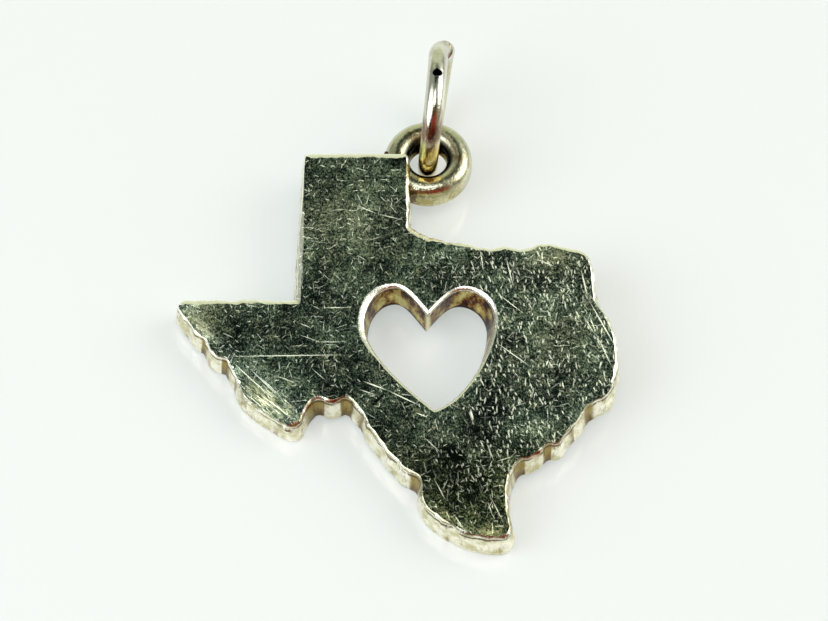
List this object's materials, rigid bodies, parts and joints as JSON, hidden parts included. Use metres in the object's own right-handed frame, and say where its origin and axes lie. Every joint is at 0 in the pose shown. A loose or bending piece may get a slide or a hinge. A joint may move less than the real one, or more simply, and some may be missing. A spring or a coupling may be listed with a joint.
{
  "type": "heart charm",
  "caption": "Flat silver charm in a state's outline with a heart-shaped opening, a fixed ring at one corner and a jump ring to hang it by.",
  "frame": {"origin": "on the plate's flat back face, on the metal 1.5 mm below the heart's tip", "axes": "+Z out of the plate's front face, +Y up the panhandle towards the rings, +X towards the plate's rounded east side"},
  "size_m": [0.02, 0.0251, 0.0064],
  "materials": {
    "plate_silver": "worn, scratched satin silver, tarnished on the face and bright on the edges",
    "ring_silver": "polished silver with warm tarnish in the hollows",
    "solder": "dull, slightly yellow silver solder",
    "jump_ring_silver": "polished silver wire"
  },
  "bodies": {
    "charm": {"state_plate": "plate_silver", "fixed_ring": "ring_silver", "fixed_ring_solder": "solder"},
    "jump_ring": {"jump_ring": "jump_ring_silver", "jump_ring_solder": "solder"}
  },
  "joints": [
    {"name": "jump_ring_swing", "type": "hinge", "parent": "charm", "child": "jump_ring", "pos_m": [-0.00006, 0.01615, 0.00034], "axis": [0.9925, -0.0991, -0.0715], "range_deg": [-116.1, 0]}
  ]
}
